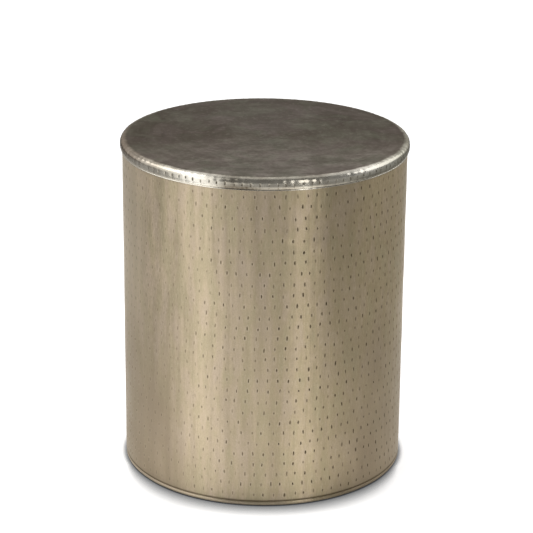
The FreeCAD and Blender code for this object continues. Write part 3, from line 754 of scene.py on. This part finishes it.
def make_wall():
    """The rolled wall: punched outside, folded in over the hoop at the mouth, plain inside."""
    columns = round(TURN * MOUTH_RADIUS / MARK_PITCH)
    low = wall_low.z + MARK_FOOT_MARGIN
    band, faces, edge_middles = punched_band(columns, low, MARK_MOUTH_LEVEL)
    azimuth, level, height, soot_and_shade, rub_and_highlight = band.T
    points = [place(azimuth, wall_radius(level) + height + wall_dents(azimuth, level), level)]

    over, inside, under = wall_section()
    section = over + inside + under
    azimuths = sheet_azimuths(columns)
    count = len(azimuths)
    ragged = Dents(31, 0.16 * MM, 25 * MM, 150 * MM, MOUTH_RADIUS)(azimuths, 0.0)
    for r, z in section:
        near_foot = max(0.0, 1 - (z - wall_low.z) / RAGGED_REACH)
        points.append(place(azimuths, r + wall_dents(azimuths, z), z + near_foot * ragged))
    top_ring = MARK_ROWS * count
    starts = [len(band) + step * count for step in range(len(section))]
    inside_faces = len(faces) + len(over) * (count - 1)
    for before, after in zip([top_ring] + starts, starts + [0]):
        faces += ring_faces(before, count, after, count, closed=False)

    # The two edges of the sheet at the seam: one strip each, between the outer and the inner run.
    for side, middles in zip((0, count - 1), edge_middles):
        ring = []
        for row in range(MARK_ROWS):
            ring += [row * count + side, middles[row]]
        ring += [start + side for start in [top_ring] + starts]
        faces.append(tuple(reversed(ring)) if side else tuple(ring))
    material = np.zeros(len(faces), int)
    material[inside_faces : inside_faces + len(inside) * (count - 1)] = 1
    # The sheet's lower edge, in the crease over the bead: patina and painted shade.
    edge_soot_and_shade = [EDGE_SOOT_AND_SHADE * (step >= len(over + inside)) for step in range(len(section))]
    points = np.concatenate(points)
    rub_and_highlight = np.concatenate([rub_and_highlight, np.zeros(len(section) * count)])
    attributes = {"soot_and_shade": np.concatenate([soot_and_shade, np.repeat(edge_soot_and_shade, count)]), "rub_and_highlight": rub_and_highlight}
    metals = [champagne_metal, bare_inside]
    wall = make_mesh("punched_wall", points, faces, "drum", metals, attributes, 50, material)
    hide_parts("drum_wall")


# ---------- the foot


def pan_section():
    """The pan's section: out along its underside, round the bead, up the flange, and back."""
    floor = pan_low.z
    flange = FOOT_RADIUS - SHEET - FILM
    reach = BEAD_RADIUS + BEAD_CREASE
    turn = math.acos((flange + BEAD_CREASE - BEAD_CENTRE[0]) / reach)
    crease = (BEAD_CENTRE[0] + reach * math.cos(turn), BEAD_CENTRE[1] + reach * math.sin(turn))
    turn = math.degrees(turn)
    ramp_outer = BEAD_CENTRE[0] - BEAD_LEDGE
    ramp_inner = ramp_outer - PAN_RAMP
    bend = (PAN_RAMP**2 + PAN_RECESS**2) / (4 * PAN_RECESS)
    ramp_turn = math.degrees(math.asin(PAN_RAMP / 2 / bend))

    def ramp(offset):
        """The S of the ramp, on the sheet's underside or offset up through it."""
        first = arc((ramp_inner, PANEL_LEVEL - bend), bend + offset, 90, 90 - ramp_turn, 4)
        last = arc((ramp_outer, floor + bend), bend - offset, 270 - ramp_turn, 270, 4)
        return first + last[1:]

    line = [(r, PANEL_LEVEL) for r in PANEL_RADII]
    line += ramp(0.0)
    line += [(BEAD_CENTRE[0] - BEAD_LEDGE / 2, floor)]
    line += arc(BEAD_CENTRE, BEAD_RADIUS, -90, turn, 14)
    line += arc(crease, BEAD_CREASE, 180 + turn, 180, 3)[1:]
    line += run((flange, crease[1]), (flange, pan_high.z), 2)
    line += [(flange - SHEET, pan_high.z), (flange - SHEET, crease[1])]
    line += arc(crease, BEAD_CREASE + SHEET, 180, 180 + turn, 3)[1:]
    line += arc(BEAD_CENTRE, BEAD_RADIUS - SHEET, turn, -90, 8)[1:]
    line += ramp(SHEET)[::-1]
    line += [(r, PANEL_LEVEL + SHEET) for r in PANEL_RADII_INSIDE]
    return np.array(line)


def make_foot():
    """The spun pan: raised panel, curve down to the ledge, rolled bead and inner flange."""
    columns = PAN_COLUMNS
    azimuths = np.arange(columns) * TURN / columns
    wavy = Dents(41, 0.11 * MM, 18 * MM, 120 * MM, FOOT_RADIUS)(azimuths, 0.0) - HAMMERED_IN
    radius, level = pan_section().T
    outward = np.maximum(0.0, (radius - BEAD_CENTRE[0]) / BEAD_RADIUS)
    # Patina and painted shade in the crease over the bead.
    soot_and_shade = np.clip((level - SOOT_AND_SHADE_LEVEL) / SOOT_AND_SHADE_RAMP, 0, 1)
    rings = place(azimuths, radius[:, None] + outward[:, None] * wavy, level[:, None])
    middle, middle_inside = [(0.0, 0.0, PANEL_LEVEL)], [(0.0, 0.0, PANEL_LEVEL + SHEET)]
    faces = fan(1, columns, 0, below=True)
    faces += stack_faces((1, columns), 1 + columns, [columns] * (len(radius) - 1))
    points = np.concatenate([middle, rings.reshape(-1, 3), middle_inside])
    # The bead's outer face is lightened: rubbed wear and a painted highlight.
    attributes = {
        attribute: np.concatenate([[0.0], np.repeat(values, columns), [0.0]])
        for attribute, values in (("soot_and_shade", soot_and_shade), ("rub_and_highlight", outward**2))
    }
    foot = make_mesh("beaded_pan", points, faces, "drum", [champagne_metal], attributes)
    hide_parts("foot_pan")


# ---------- the lid

# Columns of one rim mark's cell, as shares of its pitch from the mark's own line.
RIM_COLUMNS = np.array([-0.5, -0.36, -0.22, -0.12, -0.06, 0.0, 0.06, 0.12, 0.22, 0.36])


def rim_marks(where, along, rng, middle, half_height, depth, missing):
    """How deep one row of marks sinks the rim, and its soot, on a grid of columns and rows."""
    pitch = TURN * LID_RADIUS / RIM_MARKS
    cells = np.repeat(np.arange(RIM_MARKS), len(RIM_COLUMNS))
    centre = middle + rng.normal(0, 0.5, RIM_MARKS) * MM
    tall = half_height * np.clip(rng.normal(1, 0.2, RIM_MARKS), 0.5, 1.4)
    force = np.clip(rng.normal(0.95, 0.25, RIM_MARKS), 0.1, 1.3)
    force[rng.random(RIM_MARKS) < missing] = 0.0
    across = np.abs(where * pitch)[:, None] / RIM_MARK_HALF_WIDTH
    up = np.abs(along[None, :] - centre[cells][:, None]) / tall[cells][:, None]
    inside = np.clip(1.25 - across, 0, 1) * np.clip(2.4 * (1 - up), 0, 1)
    sunk = inside * force[cells][:, None]
    return sunk * depth, np.clip(1.3 * sunk, 0, 1)


def rim_lit_share(azimuth):
    """How lit the rim is, from 0 to 1, for its painted light: left of the front, just right, and
    right.
    """
    turn = np.degrees(azimuth)
    middle, reach = LIT_SPOT
    lit_share = np.exp(-(((turn - middle) / reach) ** 2))
    for share, start, fade_in, end, fade_out in LIT_STRETCHES:
        inside = share * np.clip((turn - start) / fade_in, 0, 1)
        lit_share = np.maximum(lit_share, inside * np.clip((end - turn) / fade_out, 0, 1))
    return lit_share


def curl_arc():
    """The arc that draws the rim in to the lip: its centre, its radius and its turn in degrees."""
    inward = LID_RADIUS - LIP_RADIUS
    drop = CURL_LEVEL - LIP_TOP
    bend = (inward**2 + drop**2) / (2 * inward)
    return (LID_RADIUS - bend, CURL_LEVEL), bend, math.degrees(math.asin(drop / bend))


def rim_section():
    """The rim's outer line from the lip up, the length along it, and its ways out of the sheet."""
    curl, bend, turn = curl_arc()
    lip = (LIP_RADIUS - LIP_BEAD + LIP_PROUD, lid_low.z + LIP_BEAD)
    rim = arc(lip, LIP_BEAD, -90, 75, LIP_STEPS)
    rim += arc(curl, bend, -turn, 0, 8)
    rim += run((LID_RADIUS, CURL_LEVEL), (LID_RADIUS, BELLY_LEVEL), 4)
    rim += arc(SHOULDER, SHOULDER_RADIUS, 0, 90, 15)[1:]
    rim = np.array(rim)
    along = np.concatenate([[0], np.cumsum(np.hypot(*np.diff(rim, axis=0).T))])
    tangent = np.gradient(rim, along, axis=0)
    outward = np.stack([tangent[:, 1], -tangent[:, 0]], axis=1)
    return rim, along, outward / np.hypot(*outward.T)[:, None]


def inside_section():
    """The inside of the lid's sheet, from the lip up and in towards the middle."""
    curl, bend, turn = curl_arc()
    line = [(LIP_RADIUS - SHEET, lid_low.z), (LIP_RADIUS - SHEET, LIP_TOP)]
    line += arc(curl, bend - SHEET, -turn, 0, 4)[1:]
    line += [(LID_RADIUS - SHEET, BELLY_LEVEL)]
    line += arc(SHOULDER, SHOULDER_RADIUS - SHEET, 0, 90, 5)[1:]
    return line + [(r, FACE_LEVEL - SHEET) for r in FACE_RADII_INSIDE]


def hammered_rim(rng, azimuths, share, cell, along, belly):
    """How far the rim stands over its line, and its soot, on a grid of columns and rows."""
    middle = belly - RIM_MARK_DROP
    large = (RIM_MARK_HALF_HEIGHT, RIM_MARK_DEPTH)
    small = (0.4 * RIM_MARK_HALF_HEIGHT, 0.5 * RIM_MARK_DEPTH)
    sunk, soot_and_shade = rim_marks(share, along, rng, middle, *large, 0.04)
    sunk_low, soot_low = rim_marks(share, along, rng, middle - SECOND_ROW_DROP, *small, 0.4)
    # Between the marks the rim is left in soft pillows, and hammering leaves it uneven.
    on_rim = np.clip(along / (3 * MM), 0, 1) * np.clip((along[-1] - along) / (3 * MM), 0, 1)
    pillow = PILLOW * rng.normal(1, 0.5, RIM_MARKS)[cell] * np.cos(TURN * share)
    hammered = Dents(53, 0.055 * MM, 7 * MM, 45 * MM, LID_RADIUS, count=40)
    uneven = hammered(azimuths[:, None], along[None, :]) - pillow[:, None] - HAMMERED_IN
    return uneven * on_rim - np.maximum(sunk, sunk_low), np.maximum(soot_and_shade, 0.8 * soot_low)


def rim_wear(azimuths, along, belly):
    """How dirty and how rubbed the rim is, on that grid, with its painted shade and highlights.

    The lip's rolled edge is rubbed bright, and dirt lies in the corner above it. Both carry painted
    light: the corner's dark, grime and painted shade, is left out where the rim is lit, the edge
    gets a painted highlight there, and more painted highlights lie on the shoulder and the curl.
    """
    lit_share = rim_lit_share(azimuths)[:, None]
    grime_and_shade_patches = Dents(19144, 1.0, 40 * MM, 300 * MM, LID_RADIUS, count=12)(azimuths, 0.0)
    from_lip = along - along[LIP_STEPS]
    corner = np.clip((9.5 * MM - from_lip) / (5.0 * MM), 0, 1)
    corner *= np.where(from_lip > 0.3 * MM, 1.0, 0.8)
    grime_and_shade = np.clip(0.9 + 0.3 * grime_and_shade_patches[:, None], 0, 1) * (1 - lit_share) * corner
    rub_and_highlight = np.clip(1 - from_lip / (0.6 * MM), 0, 1) * (0.1 + 0.9 * lit_share)
    turn = np.degrees(azimuths)[:, None]
    for middle, reach, on_shoulder, on_curl in HIGHLIGHT_STRETCHES:
        most = np.where(along > belly, on_shoulder, on_curl)
        rub_and_highlight = np.maximum(rub_and_highlight, most * np.exp(-(((turn - middle) / reach) ** 2)))
    return grime_and_shade, rub_and_highlight


def make_lid():
    """The spun lid: flat face, rounded shoulder, a belly that curls in, and an upright lip."""
    rng = np.random.default_rng(17)
    rim, along, outward = rim_section()
    belly = along[np.argmin(np.abs(rim[:, 1] - BELLY_LEVEL))]
    share = np.tile(RIM_COLUMNS, RIM_MARKS)
    cell = np.repeat(np.arange(RIM_MARKS), len(RIM_COLUMNS))
    shift = rng.normal(0, 0.06, RIM_MARKS).clip(-0.12, 0.12)[cell] * (1 - (2 * share) ** 2)
    azimuths = (cell + 0.5 + share + shift) * TURN / RIM_MARKS
    height, soot_and_shade = hammered_rim(rng, azimuths, share, cell, along, belly)
    grime_and_shade, rub_and_highlight = rim_wear(azimuths, along, belly)

    fine = len(azimuths)
    radius = rim[:, 0] + outward[:, 0] * height
    level = np.minimum(rim[:, 1] + outward[:, 1] * height, FACE_LEVEL)
    points = [place(azimuths[:, None], radius, level).transpose(1, 0, 2).reshape(-1, 3)]
    counts = [fine] * (len(rim) - 1)

    face_dents = Dents(61, 0.05 * MM, 60 * MM, 220 * MM, LID_RADIUS)
    hammered_level = FACE_LEVEL - HAMMERED_IN
    for radius, step in FACE_RINGS:
        turns = azimuths[::step]
        level = np.minimum(hammered_level + face_dents(turns, radius), FACE_LEVEL)
        points.append(place(turns, radius, level))
        counts.append(len(turns))
    points.append([(0.0, 0.0, hammered_level)])
    faces = stack_faces((0, fine), fine, counts)

    number = sum(len(ring) for ring in points)
    inside = [place(turns, radius, level) for radius, level in inside_section()]
    points += inside + [[(0.0, 0.0, FACE_LEVEL - SHEET)]]
    faces += stack_faces((0, fine), number, [len(turns)] * len(inside), below=True)

    points = np.concatenate(points)
    attributes = {}
    for attribute, grid in (("soot_and_shade", soot_and_shade), ("grime_and_shade", grime_and_shade), ("rub_and_highlight", rub_and_highlight)):
        attributes[attribute] = np.zeros(len(points))
        attributes[attribute][: grid.size] = grid.T.ravel()
    lid = make_mesh("spun_lid", points, faces, "lid", [pewter], attributes, crease=60)
    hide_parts("lid_skin")


# ---------- the screws


def cross(reach, half_width):
    """The twelve corners of a cross, in the order of their directions from its middle."""
    arm = [(reach, -half_width), (reach, half_width), (half_width, half_width)]
    corners = []
    for quarter in range(4):
        turned = Matrix.Rotation(quarter * math.pi / 2, 2)
        corners += [tuple(turned @ Vector(corner)) for corner in arm]
    return corners


def screw_points(length, countersunk):
    """One upright screw, head down, on the Z axis from level zero: its points and its faces."""
    crown = (HEAD_RADIUS**2 + HEAD_EDGE**2) / (2 * HEAD_EDGE)

    def face_level(r):
        return 0.0 if countersunk else crown - math.sqrt(crown**2 - r**2)

    points = [(x, y, CROSS_DEPTH) for x, y in cross(0.62 * ARM_REACH, 0.6 * ARM_HALF_WIDTH)]
    points += [(x, y, face_level(math.hypot(x, y))) for x, y in cross(ARM_REACH, ARM_HALF_WIDTH)]
    faces = [(11, 2, 1, 0), (2, 5, 4, 3), (5, 8, 7, 6), (8, 11, 10, 9), (11, 8, 5, 2)]
    faces += ring_faces(0, 12, 12, 12)
    section = [(r, face_level(r)) for r in (0.76 * HEAD_RADIUS, HEAD_RADIUS)]
    if countersunk:
        section += [(SHANK_RADIUS, COUNTERSINK)]
    else:
        section += [(HEAD_RADIUS, 2 * HEAD_EDGE), (SHANK_RADIUS, 2 * HEAD_EDGE)]
    section += [(SHANK_RADIUS, length - POINT)]
    faces += stack_faces((12, 12), len(points), [SCREW_COLUMNS] * len(section))
    turns = math.radians(-15) + np.arange(SCREW_COLUMNS) * TURN / SCREW_COLUMNS
    for r, z in section:
        points += [(r * math.cos(turn), r * math.sin(turn), z) for turn in turns]
    return np.array(points + [(0.0, 0.0, length)]), faces


def make_screws(name, node, body, count, first, countersunk=False):
    """A ring of cross-head screws that point up. The first stands at an angle from +X."""
    rng = np.random.default_rng(71)
    low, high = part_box(node)
    ring = (high.x - HEAD_RADIUS) / math.cos(math.radians(first))
    points, faces = screw_points(high.z - low.z, countersunk)
    all_points, all_faces = [], []
    for number in range(count):
        where = math.radians(first) + number * TURN / count
        spin = Matrix.Rotation(rng.uniform(0, TURN), 3, "Z")
        seat = np.array([ring * math.cos(where), ring * math.sin(where), low.z])
        start = number * len(points)
        all_points.append(points @ np.array(spin).T + seat)
        all_faces += [tuple(start + corner for corner in face) for face in faces]
    piece = make_mesh(name, np.concatenate(all_points), all_faces, body, [bright_steel], crease=35)
    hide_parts(node)


make_wall()
make_foot()
make_lid()
make_screws("cross_head_foot_screws", "foot_screws", "drum", 4, 45)
make_screws("cross_head_base_screws", "base_screws", "drum", 6, 0)
make_screws("cross_head_lid_screws", "lid_screws", "lid", 8, 22.5, countersunk=True)

# ---------- the pieces that stay as built

FINISHES = {
    "seam_strap": bare_inside,
    "mouth_hoop": bar_steel,
    "foot_wire": bright_steel,
    "foot_washers": bright_steel,
    "base_board": fibreboard,
    "lid_board": fibreboard,
    "lid_plug": sealed_board,
    "lid_felt": black_felt,
}
FINISHES.update({f"rubber_foot_{number}": black_rubber for number in range(1, 5)})
for node, material in FINISHES.items():
    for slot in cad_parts[node].material_slots:
        slot.material = material


# ---------- floor, light and camera

FRONT_GLOW = 0.18  # of the room before the table
LEFT_GLOW = 1.1
BACKDROP_GLOW = 1.0
FLOOR_REACH = 14.0
FLOOR_PALE = tone(0.96, 0.96, 0.96)
FLOOR_GLOW = 0.6
FLOOR_GLOW_FRONT = 1.2  # just before the table
FLOOR_GLOW_FAR = 0.4
FLOOR_FAR = tone(0.2, 0.2, 0.2)  # well before the table, outside the camera's view
FLOOR_SIDE = tone(0.3, 0.3, 0.3)
FLOOR_SHADE = tone(0.04, 0.044, 0.05)  # right at the foot


def sweep_of_paper(coat):
    """Pale under and behind the table, as far as the camera sees, and grey before and beside it."""

    def toward(x, y):
        """How far a place lies in a direction."""
        return coat.vector("DOT_PRODUCT", coat.here(), (x, y, 0.0), output="Value")

    front = coat.level(toward(0.75, -0.66), 0.45, 1.2)
    right = coat.level(toward(1.0, -0.13), 0.45, 0.65)
    left = coat.level(toward(-1.0, -0.13), 0.45, 0.7)
    left = coat.times(left, coat.level(toward(0.0, 1.0), -0.9, -0.4))
    paper = coat.mix(front, FLOOR_PALE, FLOOR_FAR)
    return coat.mix(coat.math("MAXIMUM", left, right), paper, FLOOR_SIDE)


def floor_paper():
    """The floor's material: dark right round the foot, and at full brightness where it is seen."""
    coat = Finish("pale_floor", Metallic=0.0, Roughness=0.9)
    coat.set("Specular IOR Level", 0.0)
    back = coat.part(1)
    reach = coat.level(back, -0.21, -0.07, 0.048, 0.010)
    contact = coat.add("ShaderNodeAmbientOcclusion", {"Distance": reach}, output="AO")
    shade = coat.math("POWER", coat.level(contact, 0.0, 0.98), 2.6)
    colour = coat.mix(shade, FLOOR_SHADE, sweep_of_paper(coat))
    coat.set("Base Color", colour)
    coat.set("Emission Color", colour)
    seen = coat.add("ShaderNodeLightPath", output="Is Camera Ray")
    for ray in ("Is Glossy Ray", "Is Transmission Ray"):
        seen = coat.math("ADD", seen, coat.add("ShaderNodeLightPath", output=ray))
    near = coat.level(back, -0.45, -0.16, FLOOR_GLOW_FRONT, FLOOR_GLOW)
    far = coat.level(back, -1.2, -0.45, FLOOR_GLOW_FAR, FLOOR_GLOW_FRONT)
    coat.set("Emission Strength", coat.times(seen, coat.math("MINIMUM", near, far)))
    return coat.material


def make_floor():
    """A plain pale floor."""
    reach = FLOOR_REACH
    mesh = bpy.data.meshes.new("floor")
    corners = [(-reach, -reach, 0), (reach, -reach, 0), (reach, reach, 0), (-reach, reach, 0)]
    mesh.from_pydata(corners, [], [(0, 1, 2, 3)])
    mesh.materials.append(floor_paper())
    floor = put("floor", mesh)


def panel(name, location, target, size, brightness):
    """A flat lamp at a place that faces a target."""
    light = bpy.data.lights.new(name, "AREA")
    light.shape = "RECTANGLE"
    light.size, light.size_y = size
    light.energy = brightness * math.pi * size[0] * size[1]
    lamp = put(name, light)
    lamp.location = location
    lamp.rotation_mode = "QUATERNION"
    lamp.rotation_quaternion = (Vector(target) - lamp.location).to_track_quat("-Z", "Y")
    lamp.visible_camera = False


def softbox(name, azimuth, distance, height, size, brightness):
    """A lamp that stands round the table: azimuth 0 at the camera's side, 90 at the right."""
    turn = math.radians(azimuth)
    stand = (distance * math.sin(turn), -distance * math.cos(turn), height)
    panel(name, stand, (0, 0, 0.25), size, brightness)


def make_world():
    """A studio's soft light: a bright backdrop, a bright left side and a dim room before them."""
    world = bpy.data.worlds.new("studio")
    bpy.context.scene.world = world
    world.use_nodes = True
    nodes = Nodes(world.node_tree)
    where = nodes.add("ShaderNodeTexCoord", output="Generated")

    def ramp(axis, low, high, to_low, to_high):
        """A way out into the room, carried over smoothly to two brightnesses."""
        part = nodes.add("ShaderNodeSeparateXYZ", {0: where}, output=axis)
        inputs = dict(enumerate((part, low, high, to_low, to_high)))
        return nodes.add("ShaderNodeMapRange", inputs, interpolation_type="SMOOTHSTEP")

    left = ramp(0, -0.45, -0.9, FRONT_GLOW, LEFT_GLOW)
    background = nodes.tree.nodes["Background"]
    nodes.give(background.inputs["Color"], tone(1.0, 1.0, 1.0))
    nodes.give(background.inputs["Strength"], ramp(1, 0.35, 0.95, left, BACKDROP_GLOW))


def make_camera():
    """The camera stands in front of the table and looks down on it."""
    camera = bpy.data.cameras.new("camera")
    camera.sensor_width = 36.0
    camera.lens = 146.2
    camera.clip_end = 60.0
    seat = put("camera", camera)
    stand = Matrix.Translation((0, -3.100, 1.415))
    pitch, yaw, roll = (math.radians(angle) for angle in (19.775, 0.073, 0.525))
    turn = Matrix.Rotation(-yaw, 4, "Z") @ Matrix.Rotation(math.pi / 2 - pitch, 4, "X")
    seat.matrix_world = stand @ turn @ Matrix.Rotation(roll, 4, "Z")
    bpy.context.scene.camera = seat


make_floor()
make_world()
softbox("left_box", -48, 1.5, 1.05, (0.68, 2.1), 0.72)
softbox("right_box", 30, 2.2, 1.05, (0.30, 2.1), 3.2)
panel("left_high", (-1.5, 0.1, 1.9), (0, 0, 0.5), (1.5, 1.3), 1.7)
panel("kicker", (2.08, 0.68, 1.6), (0, 0, 0.5), (2.4, 1.6), 1.25)
panel("overhead", (0, 1.6, 2.3), (0, 1.6, 0), (3.0, 3.6), 0.5)
make_camera()
bpy.context.scene.view_settings.view_transform = "Standard"
